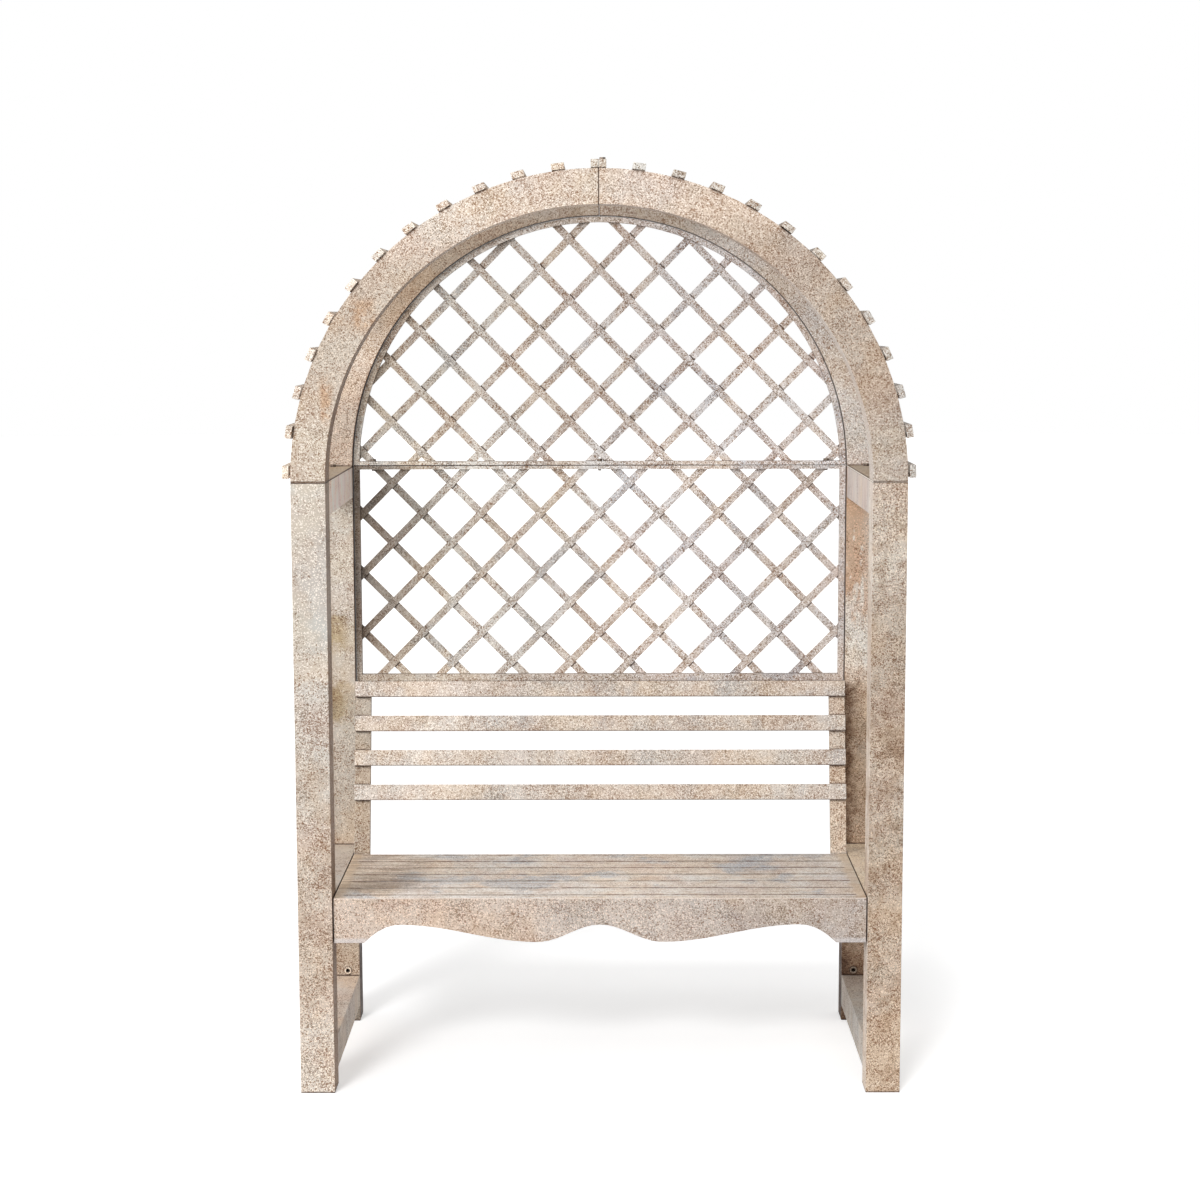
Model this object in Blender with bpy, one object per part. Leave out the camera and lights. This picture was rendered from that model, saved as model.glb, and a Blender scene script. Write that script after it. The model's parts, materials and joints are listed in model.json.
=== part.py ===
"""Garden arbour bench in folded zinc sheet: four posts, a double round arch with battens,
a trellis back and a slatted seat.

Units are metres. The front faces -Y, +Z is up, and the origin is on the ground in the middle
of the footprint.
"""

import math

import bmesh
import bpy
from mathutils import Vector

# Clearances and sheet thicknesses
GAP = 0.0003
SHEET = 0.0015
PLATE = 0.003
LIGHT_SHEET = 0.0012
CUT_MARGIN = 0.010

# Posts and side frames
OUTER_HALF = 0.678
INNER_HALF = 0.601
POST_DEPTH = 0.070
FRAME_DEPTH = 0.614
SPRING_Z = 1.387
RAIL_HEIGHT = 0.077
TOP_RAIL_HEIGHT = 0.074
STRETCHER_TOP = 0.1155
PLATE_INSET = 0.0006

# Arches and battens
CROWN_GAP = 0.0006
ARCH_STEPS = 24
BATTEN_WIDTH = 0.028
BATTEN_HEIGHT = 0.014
BATTEN_OVERHANG = 0.026
CROWN_BATTEN_WIDTH = 0.0165
CROWN_BATTEN_HEIGHT = 0.017
BATTENS_PER_HALF = 12
FIRST_BATTEN_ANGLE = math.radians(1.9)

# Trellis
TRELLIS_HALF = 0.598
TRELLIS_FACE = 0.013
TRELLIS_DEPTH = 0.0212
TRELLIS_RECESS = 0.012
TRELLIS_JOINT_Z = 1.3875
TRELLIS_JOINT_GAP = 0.0014
JOINT_BAR = 0.0090
BOTTOM_BAR = 0.0175
TRELLIS_BOTTOM = 0.8555
STRIP_WIDTH = 0.0182
STRIP_THICKNESS = 0.0025
STRIP_FROM_FRONT = 0.0158
STRIP_BITE = 0.0004
STRIP_REACH = 1.2
STRIPS_EACH_WAY = 12
LATTICE_DX = 0.0724
LATTICE_DZ = 0.0733
UPPER_LATTICE_Z = 1.8595
LOWER_LATTICE_Z = 1.2698
RING_STEPS = 48

# Seat and apron
SEAT_Z = 0.450
SEAT_HALF = 0.5985
APRON_INSET = 0.004
SEAT_BACK_Y = 0.1285
SEAT_BORDER = 0.020
SEAT_SKIRT = 0.022
SLOT_COUNT = 6
FIRST_SLOT_Y = -0.2705
SLOT_PITCH = 0.0646
SLOT_WIDTH = 0.0050
APRON_FLANGE = 0.030
APRON_STATIONS = 64
APRON_LOW = 0.3493
APRON_CREST = 0.3893
APRON_END = 0.3475
APRON_TROUGH_X = 0.140
APRON_CREST_X = 0.450
APRON_SHOULDER_X = 0.531

# Backrest
RAKE = math.radians(12.5)
BACK_MEMBER = 0.038
BACK_DEPTH = 0.012
STILE_DEPTH = 0.018
STILE_FRONT_Y = 0.1340
STILE_BELOW_SEAT = 0.040
BACK_TOP_Z = 0.8595
BACK_SLATS = 4
SLAT_PITCH = 0.0839

# Fasteners
BOLT_HEAD_RADIUS = 0.0075
BOLT_HEAD_HEIGHT = 0.0055
BOLT_SHANK_RADIUS = 0.0037
BOLT_TAIL = 0.004
ARCH_BOLT_SHANK = 0.012
BOLT_HOLE_RADIUS = 0.0046
BOLT_FROM_TRELLIS_FRONT = 0.0078
HOLE_SIDES = 16
TRELLIS_BOLT_X = 0.5515
ARCH_BOLT_X = 0.645
ARCH_BOLT_FROM_POST = 0.016
CROWN_BOLT_FROM_FRONT = 0.012
BUSHING_Z = 0.1290
BUSHING_X = 0.630
BUSHING_BORE = 0.0050
BUSHING_BARREL = 0.0066
BUSHING_FLANGE = 0.0090
BUSHING_FLANGE_DEPTH = 0.0025
BUSHING_BARREL_DEPTH = 0.006
BUSHING_SIDES = 24

# Worked out from the above
FRONT_Y = -FRAME_DEPTH / 2
SEAT_FRONT_Y = FRONT_Y + APRON_INSET + SHEET + GAP
POST_BACK_Y = FRAME_DEPTH / 2 - POST_DEPTH
POST_TOP = SPRING_Z - PLATE - 2 * GAP
ARCH_OUTER = OUTER_HALF - CROWN_GAP / 2
ARCH_INNER = INNER_HALF - CROWN_GAP / 2
TRELLIS_Y = POST_BACK_Y + TRELLIS_RECESS
SIDES = (("left", -1), ("right", 1))
AXES = "xyz"


def clear_scene():
    for obj in list(bpy.data.objects):
        bpy.data.objects.remove(obj, do_unlink=True)


def metal(name, colour, roughness, metallic=0.55):
    """A weathered zinc finish."""
    material = bpy.data.materials.new(name)
    material.use_nodes = True
    shader = material.node_tree.nodes["Principled BSDF"]
    shader.inputs["Base Color"].default_value = (*colour, 1.0)
    shader.inputs["Roughness"].default_value = roughness
    shader.inputs["Metallic"].default_value = metallic
    material.diffuse_color = (*colour, 1.0)
    return material


def add_object(name, bm, material=None):
    mesh = bpy.data.meshes.new(name)
    bm.to_mesh(mesh)
    bm.free()
    obj = bpy.data.objects.new(name, mesh)
    bpy.context.scene.collection.objects.link(obj)
    if material:
        mesh.materials.append(material)
    return obj


def fold(obj, thickness):
    """Gives an open skin its sheet thickness, inwards."""
    solidify = obj.modifiers.new("sheet", "SOLIDIFY")
    solidify.thickness = thickness
    solidify.offset = -1.0
    solidify.use_even_offset = True
    return obj


def add_boolean(obj, other, operation):
    other.hide_render = True
    other.display_type = "WIRE"
    boolean = obj.modifiers.new(other.name, "BOOLEAN")
    boolean.operation = operation
    boolean.object = other


def box_mesh(low, high):
    bm = bmesh.new()
    bmesh.ops.create_cube(bm, size=1.0)
    low, high = Vector(low), Vector(high)
    for vertex in bm.verts:
        vertex.co = Vector(
            low[i] if vertex.co[i] < 0 else high[i] for i in range(3)
        )
    return bm


def box_skin(low, high, open_sides):
    """The walls of a box, without those on open_sides, such as ("+z",)."""
    bm = box_mesh(low, high)
    bm.normal_update()
    gone = []
    for face in bm.faces:
        axis = max(range(3), key=lambda i: abs(face.normal[i]))
        side = ("+" if face.normal[axis] > 0 else "-") + AXES[axis]
        if side in open_sides:
            gone.append(face)
    bmesh.ops.delete(bm, geom=gone, context="FACES")
    return bm


def cylinder_cutter(name, centre, radius, height, axis="z"):
    bm = bmesh.new()
    bmesh.ops.create_cone(
        bm,
        cap_ends=True,
        segments=HOLE_SIDES,
        radius1=radius,
        radius2=radius,
        depth=height,
    )
    cutter = add_object(name, bm)
    cutter.location = centre
    if axis == "y":
        cutter.rotation_euler.x = math.radians(90)
    return cutter


def x_range(side, inner, outer):
    """The two x values of something on one side, lowest first."""
    return sorted((side * inner, side * outer))


# Side frames


def make_posts(material):
    for row, y0 in (("front", FRONT_Y), ("back", POST_BACK_Y)):
        for word, side in SIDES:
            x0, x1 = x_range(side, INNER_HALF, OUTER_HALF)
            skin = box_skin((x0, y0, 0), (x1, y0 + POST_DEPTH, POST_TOP), ("+z",))
            post = fold(add_object(f"post_{row}_{word}", skin, material), SHEET)
            if row == "back":
                hole = cylinder_cutter(
                    f"bushing_hole_{word}",
                    (side * BUSHING_X, POST_BACK_Y, BUSHING_Z),
                    BUSHING_BARREL + GAP,
                    8 * SHEET,
                    "y",
                )
                add_boolean(post, hole, "DIFFERENCE")


def make_rails(material):
    rails = (
        ("top_rail", POST_TOP, TOP_RAIL_HEIGHT),
        ("seat_rail", SEAT_Z, RAIL_HEIGHT),
        ("stretcher", STRETCHER_TOP, RAIL_HEIGHT),
    )
    y0 = FRONT_Y + POST_DEPTH + GAP
    y1 = POST_BACK_Y - GAP
    for name, top, height in rails:
        for word, side in SIDES:
            x0, x1 = x_range(side, INNER_HALF, OUTER_HALF)
            skin = box_skin((x0, y0, top - height), (x1, y1, top), ("-y", "+y"))
            rail = fold(add_object(f"{name}_{word}", skin, material), SHEET)
            if name == "top_rail":
                add_boolean(rail, arch_bolt_hole(f"rail_bolt_hole_{word}", side), "DIFFERENCE")


def arch_bolt_place(side):
    return Vector((side * ARCH_BOLT_X, POST_BACK_Y - ARCH_BOLT_FROM_POST, SPRING_Z))


def arch_bolt_hole(name, side):
    return cylinder_cutter(name, arch_bolt_place(side), BOLT_HOLE_RADIUS, 8 * PLATE)


def make_base_plates(material):
    """Plates on top of the side frames that tie the front arch's foot to the back arch's."""
    for word, side in SIDES:
        x0, x1 = x_range(side, INNER_HALF + PLATE_INSET, OUTER_HALF - PLATE_INSET)
        bm = box_mesh(
            (x0, FRONT_Y + PLATE_INSET, POST_TOP + GAP),
            (x1, -FRONT_Y - PLATE_INSET, SPRING_Z - GAP),
        )
        plate = add_object(f"arch_base_plate_{word}", bm, material)
        add_boolean(plate, arch_bolt_hole(f"plate_bolt_hole_{word}", side), "DIFFERENCE")


# Arches


def make_arch_half(name, side, y0, material):
    """A quarter ring of square tube, from the spring line to the crown joint."""
    bm = bmesh.new()
    y1 = y0 + POST_DEPTH
    corners = ((ARCH_OUTER, y0), (ARCH_OUTER, y1), (ARCH_INNER, y1), (ARCH_INNER, y0))
    ring = [bm.verts.new((side * radius, y, 0)) for radius, y in corners]
    edges = [bm.edges.new((ring[i], ring[(i + 1) % 4])) for i in range(4)]
    bmesh.ops.spin(
        bm,
        geom=ring + edges,
        cent=(0, 0, 0),
        axis=(0, 1, 0),
        angle=-side * math.pi / 2,
        steps=ARCH_STEPS,
    )
    bm.normal_update()
    middle_radius = (ARCH_OUTER + ARCH_INNER) / 2
    for face in bm.faces:
        centre = face.calc_center_median()
        core = Vector((centre.x, 0, centre.z)).normalized() * middle_radius
        core.y = (y0 + y1) / 2
        if face.normal.dot(centre - core) < 0:
            face.normal_flip()
    arch = fold(add_object(name, bm, material), SHEET)
    arch.location = (side * CROWN_GAP / 2, 0, SPRING_Z)
    return arch


def make_arches(material):
    for row, y0 in (("front", FRONT_Y), ("back", POST_BACK_Y)):
        for word, side in SIDES:
            arch = make_arch_half(f"arch_{row}_{word}", side, y0, material)
            if (row, word) == ("front", "right"):
                add_boolean(arch, crown_bolt_hole("arch_crown_bolt_hole"), "DIFFERENCE")


def make_batten(name, side, angle, material):
    """An inverted channel with closed ends, lying across both arches."""
    half = BATTEN_WIDTH / 2
    reach = -FRONT_Y + BATTEN_OVERHANG
    skin = box_skin((-half, -reach, 0), (half, reach, BATTEN_HEIGHT), ("-z",))
    batten = fold(add_object(name, skin, material), LIGHT_SHEET)
    seat = ARCH_OUTER + GAP
    batten.location = (
        side * (seat * math.cos(angle) + CROWN_GAP / 2),
        0,
        SPRING_Z + seat * math.sin(angle),
    )
    batten.rotation_euler.y = side * (math.pi / 2 - angle)


def make_crown_batten(word, side, material):
    x0, x1 = x_range(side, CROWN_GAP / 2, CROWN_GAP / 2 + CROWN_BATTEN_WIDTH)
    reach = -FRONT_Y + BATTEN_OVERHANG
    z0 = SPRING_Z + ARCH_OUTER + GAP
    skin = box_skin((x0, -reach, z0), (x1, reach, z0 + CROWN_BATTEN_HEIGHT), ("-z",))
    batten = fold(add_object(f"crown_batten_{word}", skin, material), LIGHT_SHEET)
    if word == "right":
        add_boolean(batten, crown_bolt_hole("batten_crown_bolt_hole"), "DIFFERENCE")


def make_battens(material):
    step = (math.pi / 2 - FIRST_BATTEN_ANGLE) / BATTENS_PER_HALF
    for word, side in SIDES:
        for number in range(BATTENS_PER_HALF):
            angle = FIRST_BATTEN_ANGLE + number * step
            make_batten(f"batten_{word}_{number + 1:02d}", side, angle, material)
        make_crown_batten(word, side, material)


# Trellis


def lunette_outline(radius, low):
    """The part of a circle round the arches' centre that lies above low."""
    start = math.asin((low - SPRING_Z) / radius)
    points = []
    for number in range(RING_STEPS + 1):
        angle = start + (math.pi - 2 * start) * number / RING_STEPS
        points.append((radius * math.cos(angle), SPRING_Z + radius * math.sin(angle)))
    return points


def rectangle_outline(half, low, high):
    return [(-half, low), (half, low), (half, high), (-half, high)]


def prism(name, outline, y0, y1, material=None):
    """A flat outline in x and z, extruded from y0 to y1."""
    bm = bmesh.new()
    face = bm.faces.new([bm.verts.new((x, y0, z)) for x, z in outline])
    made = bmesh.ops.extrude_face_region(bm, geom=[face])
    for item in made["geom"]:
        if isinstance(item, bmesh.types.BMVert):
            item.co.y = y1
    bmesh.ops.recalc_face_normals(bm, faces=bm.faces)
    return add_object(name, bm, material)


def strip_layer(name, centre_z, lean, y0, low, high):
    """Parallel flat strips at one lean (+1 rises to the right), over the whole panel."""
    bm = bmesh.new()
    along = Vector((LATTICE_DX, 0, lean * LATTICE_DZ)).normalized()
    across = Vector((-along.z, 0, along.x)) * (STRIP_WIDTH / 2)
    for number in range(-STRIPS_EACH_WAY, STRIPS_EACH_WAY + 1):
        middle = Vector((2 * number * LATTICE_DX, y0, centre_z))
        ends = []
        for sign in (-1, 1):
            end = middle + along * (sign * STRIP_REACH)
            ends += [end - across * sign, end + across * sign]
        heights = [end.z for end in ends]
        if max(heights) < low or min(heights) > high:
            continue
        face = bm.faces.new([bm.verts.new(point) for point in ends])
        made = bmesh.ops.extrude_face_region(bm, geom=[face])
        for item in made["geom"]:
            if isinstance(item, bmesh.types.BMVert):
                item.co.y += STRIP_THICKNESS
    bmesh.ops.recalc_face_normals(bm, faces=bm.faces)
    return add_object(name, bm)


def make_trellis_panel(name, outer, inner, clip, centre_z, front_lean, low, high, material):
    """A bar frame with two crossing layers of strips welded into it."""
    back = TRELLIS_Y + TRELLIS_DEPTH
    frame = prism(name, outer, TRELLIS_Y, back, material)
    opening = prism(f"{name}_opening", inner, TRELLIS_Y - CUT_MARGIN, back + CUT_MARGIN)
    add_boolean(frame, opening, "DIFFERENCE")
    strips_y = TRELLIS_Y + STRIP_FROM_FRONT
    clipper = prism(f"{name}_clip", clip, TRELLIS_Y - CUT_MARGIN, back + CUT_MARGIN)
    clipper.hide_render = True
    layers = (
        ("front", front_lean, strips_y),
        ("back", -front_lean, strips_y + STRIP_THICKNESS - STRIP_BITE),
    )
    for word, lean, y0 in layers:
        layer = strip_layer(f"{name}_{word}_strips", centre_z, lean, y0, low, high)
        add_boolean(layer, clipper, "INTERSECT")
        add_boolean(frame, layer, "UNION")
    return frame


def make_trellis(material):
    half = TRELLIS_HALF
    hidden = TRELLIS_FACE / 2
    inner = half - TRELLIS_FACE
    low = TRELLIS_JOINT_Z + TRELLIS_JOINT_GAP / 2
    upper = make_trellis_panel(
        "trellis_upper",
        lunette_outline(half, low),
        lunette_outline(inner, low + JOINT_BAR),
        lunette_outline(half - hidden, low + JOINT_BAR / 2),
        UPPER_LATTICE_Z,
        -1,
        low,
        TRELLIS_JOINT_Z + half,
        material,
    )
    high = TRELLIS_JOINT_Z - TRELLIS_JOINT_GAP / 2
    bottom = TRELLIS_BOTTOM
    lower = make_trellis_panel(
        "trellis_lower",
        rectangle_outline(half, bottom, high),
        rectangle_outline(inner, bottom + BOTTOM_BAR, high - JOINT_BAR),
        rectangle_outline(half - hidden, bottom + BOTTOM_BAR / 2, high - JOINT_BAR / 2),
        LOWER_LATTICE_Z,
        1,
        bottom,
        high,
        material,
    )
    for word, x in trellis_bolt_places():
        for panel in (upper, lower):
            hole = cylinder_cutter(
                f"{panel.name}_bolt_hole_{word}",
                (x, TRELLIS_Y + BOLT_FROM_TRELLIS_FRONT, TRELLIS_JOINT_Z),
                BOLT_HOLE_RADIUS,
                4 * JOINT_BAR,
            )
            add_boolean(panel, hole, "DIFFERENCE")


def trellis_bolt_places():
    return (("left", -TRELLIS_BOLT_X), ("middle", 0.0), ("right", TRELLIS_BOLT_X))


# Seat


def make_seat_panel(material):
    """A tray of folded sheet whose top has long slots between the slats."""
    front = SEAT_FRONT_Y
    xs = (-SEAT_HALF, -SEAT_HALF + SEAT_BORDER, SEAT_HALF - SEAT_BORDER, SEAT_HALF)
    ys = [front]
    for number in range(SLOT_COUNT):
        slot = FIRST_SLOT_Y + number * SLOT_PITCH
        ys += [slot - SLOT_WIDTH / 2, slot + SLOT_WIDTH / 2]
    ys.append(SEAT_BACK_Y)
    bm = bmesh.new()
    grid = [[bm.verts.new((x, y, SEAT_Z)) for x in xs] for y in ys]
    for row in range(len(ys) - 1):
        for column in range(len(xs) - 1):
            if column == 1 and row % 2 == 1:
                continue
            bm.faces.new(
                (
                    grid[row][column],
                    grid[row][column + 1],
                    grid[row + 1][column + 1],
                    grid[row + 1][column],
                )
            )
    edge = [e for e in bm.edges if e.is_boundary and on_seat_edge(e)]
    made = bmesh.ops.extrude_edge_only(bm, edges=edge)
    for item in made["geom"]:
        if isinstance(item, bmesh.types.BMVert):
            item.co.z -= SEAT_SKIRT
    bm.normal_update()
    middle = Vector((0, (front + SEAT_BACK_Y) / 2, 0))
    for face in bm.faces:
        out = Vector((0, 0, 1))
        if abs(face.normal.z) < 0.5:
            out = face.calc_center_median() - middle
            out.z = 0
        if face.normal.dot(out) < 0:
            face.normal_flip()
    fold(add_object("seat_panel", bm, material), SHEET)


def on_seat_edge(edge):
    xs = {round(abs(v.co.x), 6) for v in edge.verts}
    ys = {round(v.co.y, 6) for v in edge.verts}
    ends = (round(SEAT_FRONT_Y, 6), round(SEAT_BACK_Y, 6))
    return xs == {round(SEAT_HALF, 6)} and len(ys) == 2 or len(ys) == 1 and ys.pop() in ends


def apron_height(x):
    """The scalloped lower edge: crests in the middle and at both sides, with an S between."""
    x = abs(x)
    if x <= APRON_TROUGH_X:
        wave = (1 + math.cos(math.pi * x / APRON_TROUGH_X)) / 2
        return APRON_LOW + (APRON_CREST - APRON_LOW) * wave
    if x <= APRON_CREST_X:
        share = (x - APRON_TROUGH_X) / (APRON_CREST_X - APRON_TROUGH_X)
        return APRON_LOW + (APRON_CREST - APRON_LOW) * (1 - math.cos(math.pi * share)) / 2
    if x <= APRON_SHOULDER_X:
        share = (x - APRON_CREST_X) / (APRON_SHOULDER_X - APRON_CREST_X)
        return APRON_END + (APRON_CREST - APRON_END) * (1 - share**2)
    return APRON_END


def make_apron(material):
    """A scalloped front sheet up to the seat's top, with flanges turned back at both ends."""
    front = FRONT_Y + APRON_INSET
    xs = {-SEAT_HALF, SEAT_HALF}
    for number in range(APRON_STATIONS + 1):
        xs.add(APRON_SHOULDER_X * (2 * number / APRON_STATIONS - 1))
    bm = bmesh.new()
    columns = []
    for x in sorted(xs):
        columns.append([bm.verts.new((x, front, z)) for z in (apron_height(x), SEAT_Z)])
    for left, right in zip(columns, columns[1:]):
        bm.faces.new((left[0], right[0], right[1], left[1]))
    apron = fold(add_object("apron", bm, material), SHEET)
    for word, side in SIDES:
        x0, x1 = x_range(side, SEAT_HALF - SHEET, SEAT_HALF)
        low = (x0, front, APRON_END)
        high = (x1, front + APRON_FLANGE, SEAT_Z - SEAT_SKIRT - 2 * GAP)
        flange = add_object(f"apron_flange_{word}", box_mesh(low, high))
        add_boolean(apron, flange, "UNION")


# Backrest


def raked(obj):
    """Places a piece that is modelled upright at the foot of the backrest."""
    obj.location = (0, STILE_FRONT_Y, SEAT_Z)
    obj.rotation_euler.x = -RAKE
    return obj


def make_backrest(stile_material, slat_material):
    top = (BACK_TOP_Z - SEAT_Z) / math.cos(RAKE)
    for word, side in SIDES:
        x0, x1 = x_range(side, SEAT_HALF - BACK_MEMBER, SEAT_HALF)
        skin = box_skin((x0, 0, -STILE_BELOW_SEAT), (x1, STILE_DEPTH, top), ("+y",))
        raked(fold(add_object(f"back_stile_{word}", skin, stile_material), SHEET))
    for number in range(BACK_SLATS):
        z1 = top - number * SLAT_PITCH
        skin = box_skin(
            (-SEAT_HALF, -BACK_DEPTH, z1 - BACK_MEMBER),
            (SEAT_HALF, -GAP, z1),
            ("+y",),
        )
        raked(fold(add_object(f"back_slat_{number + 1}", skin, slat_material), LIGHT_SHEET))


# Fasteners


def make_bolt(name, place, shank, material):
    """A hexagon head with its shank pointing down, the head's underside at place."""
    bm = bmesh.new()
    bmesh.ops.create_cone(
        bm,
        cap_ends=True,
        segments=6,
        radius1=BOLT_HEAD_RADIUS,
        radius2=BOLT_HEAD_RADIUS,
        depth=BOLT_HEAD_HEIGHT,
    )
    bmesh.ops.translate(bm, verts=bm.verts, vec=(0, 0, BOLT_HEAD_HEIGHT / 2))
    bm.normal_update()
    under = min(bm.faces, key=lambda face: face.calc_center_median().z)
    flat = math.cos(math.pi / 6)
    inset = (BOLT_HEAD_RADIUS - BOLT_SHANK_RADIUS) * flat
    bmesh.ops.inset_region(bm, faces=[under], thickness=inset)
    made = bmesh.ops.extrude_face_region(bm, geom=[under])
    bmesh.ops.delete(bm, geom=[under], context="FACES")
    for item in made["geom"]:
        if isinstance(item, bmesh.types.BMVert):
            item.co.z -= shank
    bmesh.ops.recalc_face_normals(bm, faces=bm.faces)
    bolt = add_object(name, bm, material)
    bolt.location = place
    return bolt


def crown_bolt_place():
    x = CROWN_GAP / 2 + CROWN_BATTEN_WIDTH / 2
    return Vector((x, FRONT_Y + CROWN_BOLT_FROM_FRONT, SPRING_Z + ARCH_OUTER + CROWN_BATTEN_HEIGHT))


def crown_bolt_hole(name):
    return cylinder_cutter(name, crown_bolt_place(), BOLT_HOLE_RADIUS, 3 * CROWN_BATTEN_HEIGHT)


def make_bushing(name, side, material):
    """A turned bushing: a flange on the post's face and a barrel through its wall."""
    bm = bmesh.new()
    profile = (
        (BUSHING_BORE, -BUSHING_FLANGE_DEPTH),
        (BUSHING_FLANGE, -BUSHING_FLANGE_DEPTH),
        (BUSHING_FLANGE, 0),
        (BUSHING_BARREL, 0),
        (BUSHING_BARREL, BUSHING_BARREL_DEPTH),
        (BUSHING_BORE, BUSHING_BARREL_DEPTH),
    )
    ring = [bm.verts.new((radius, y, 0)) for radius, y in profile]
    edges = [bm.edges.new((ring[i], ring[(i + 1) % len(ring)])) for i in range(len(ring))]
    bmesh.ops.spin(
        bm,
        geom=ring + edges,
        cent=(0, 0, 0),
        axis=(0, 1, 0),
        angle=2 * math.pi,
        steps=BUSHING_SIDES,
        use_merge=True,
    )
    bmesh.ops.remove_doubles(bm, verts=bm.verts, dist=1e-5)
    bmesh.ops.recalc_face_normals(bm, faces=bm.faces)
    bushing = add_object(name, bm, material)
    bushing.location = (side * BUSHING_X, POST_BACK_Y - GAP, BUSHING_Z)
    bushing.data.shade_smooth()
    bushing.data.set_sharp_from_angle(angle=math.radians(40))


def make_fasteners(material):
    bars = TRELLIS_JOINT_GAP + 2 * JOINT_BAR
    head = TRELLIS_JOINT_Z + bars / 2 + GAP
    for word, x in trellis_bolt_places():
        place = (x, TRELLIS_Y + BOLT_FROM_TRELLIS_FRONT, head)
        make_bolt(f"trellis_bolt_{word}", place, bars + BOLT_TAIL, material)
    for word, side in SIDES:
        make_bolt(f"arch_bolt_{word}", arch_bolt_place(side), ARCH_BOLT_SHANK, material)
        make_bushing(f"leg_bushing_{word}", side, material)
    place = crown_bolt_place() + Vector((0, 0, 2 * GAP))
    make_bolt("crown_bolt", place, CROWN_BATTEN_HEIGHT + 2 * BOLT_TAIL, material)


def main():
    clear_scene()
    posts = metal("post_zinc", (0.52, 0.44, 0.36), 0.62)
    rails = metal("rail_zinc", (0.50, 0.42, 0.34), 0.60)
    arches = metal("arch_zinc", (0.56, 0.49, 0.40), 0.60)
    battens = metal("batten_zinc", (0.54, 0.46, 0.38), 0.62)
    trellis = metal("trellis_zinc", (0.40, 0.35, 0.30), 0.62)
    seat = metal("seat_zinc", (0.42, 0.38, 0.32), 0.58)
    slats = metal("slat_zinc", (0.47, 0.40, 0.33), 0.60)
    bolts = metal("bolt_steel", (0.22, 0.19, 0.16), 0.50, 0.8)
    make_posts(posts)
    make_rails(rails)
    make_base_plates(arches)
    make_arches(arches)
    make_battens(battens)
    make_trellis(trellis)
    make_seat_panel(seat)
    make_apron(posts)
    make_backrest(posts, slats)
    make_fasteners(bolts)


main()
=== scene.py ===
import json
import math

import bmesh
import bpy
from mathutils import Matrix, Vector


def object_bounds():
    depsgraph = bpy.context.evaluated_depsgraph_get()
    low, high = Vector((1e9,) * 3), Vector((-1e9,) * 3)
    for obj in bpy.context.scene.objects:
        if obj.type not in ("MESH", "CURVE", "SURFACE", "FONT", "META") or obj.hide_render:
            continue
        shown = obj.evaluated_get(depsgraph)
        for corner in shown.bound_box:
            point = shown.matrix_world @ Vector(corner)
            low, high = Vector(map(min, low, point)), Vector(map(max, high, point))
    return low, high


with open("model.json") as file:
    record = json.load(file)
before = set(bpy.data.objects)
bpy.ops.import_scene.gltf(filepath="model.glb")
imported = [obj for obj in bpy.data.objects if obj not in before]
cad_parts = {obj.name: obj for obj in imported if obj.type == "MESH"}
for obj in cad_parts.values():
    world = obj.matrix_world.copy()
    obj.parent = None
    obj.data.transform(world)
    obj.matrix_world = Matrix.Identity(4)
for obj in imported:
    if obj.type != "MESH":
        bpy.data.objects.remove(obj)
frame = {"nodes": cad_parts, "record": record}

CAD_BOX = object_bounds()

WHITE = (1.0, 1.0, 1.0)

# Camera: a long lens in front of the bench, a little above its middle and looking slightly down.
CAMERA_PLACE = (0.01195, -5.36701, 1.74344)
CAMERA_PITCH = 0.1216116
CAMERA_YAW = 0.0020774
CAMERA_ROLL = -0.0018993
CAMERA_LENS = 69.283
CAMERA_SENSOR = 36.0
CAMERA_REACH = 200.0

# Two softboxes for the bench: name, place, size and power
SIDE_BOX = ("side_softbox", (-3.4, -2.3, 2.6), 2.2, 131.0)
FRONT_BOX = ("front_softbox", (-1.2, -6.5, 3.2), 3.0, 144.0)
BOX_TARGET = (0, 0, 1.0)

# Suns that light only the floor, where the bench then throws its soft shadow
LOW_SUN_SIDES = (-0.42, -0.56, -0.72)
LOW_SUN_FRONT = -1.52
LOW_SUN_ANGLE = math.radians(10)
LOW_SUN_STRENGTH = 0.49
HIGH_SUN_DIRECTION = Vector((-0.45, -1.05, 1.0))
HIGH_SUN_ANGLE = math.radians(22)
HIGH_SUN_STRENGTH = 0.45
SUN_DISTANCE = 3

# The brightness of the sky around the bench
SKY_BELOW = 0.32
SKY_HORIZON = 0.25
SKY_ZENITH = 0.70

FLOOR_RADIUS = 30.0
FLOOR_SIDES = 64
FLOOR_DROP = 0.0002
FLOOR_GLOW = 0.435
FLOOR_DARK = (0.88, 0.88, 0.88)
FLOOR_LIGHT = (0.90, 0.90, 0.90)

# How the carried-over solids are refined
WELD_DISTANCE = 0.00001
FLAT_ANGLE = math.radians(0.5)
FOLD_ANGLE = math.radians(30)
BEVEL = 0.0007
SMALL_BEVEL = 0.0003
FLAT_WEIGHT = 80

# Tones
PALE = (0.67, 0.64, 0.585)
CREAM = (0.69, 0.60, 0.49)
PINK = (0.61, 0.49, 0.42)
OCHRE = (0.57, 0.43, 0.28)
BLUE_GREY = (0.47, 0.475, 0.475)
LILAC = (0.60, 0.53, 0.50)
PAINTED_HIGHLIGHT = (0.74, 0.75, 0.75)
FLECK_AND_HIGHLIGHT = (0.98, 0.92, 0.83)
DARK_STEEL = (0.30, 0.24, 0.19)
LIGHT_STEEL = (0.60, 0.53, 0.45)
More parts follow.
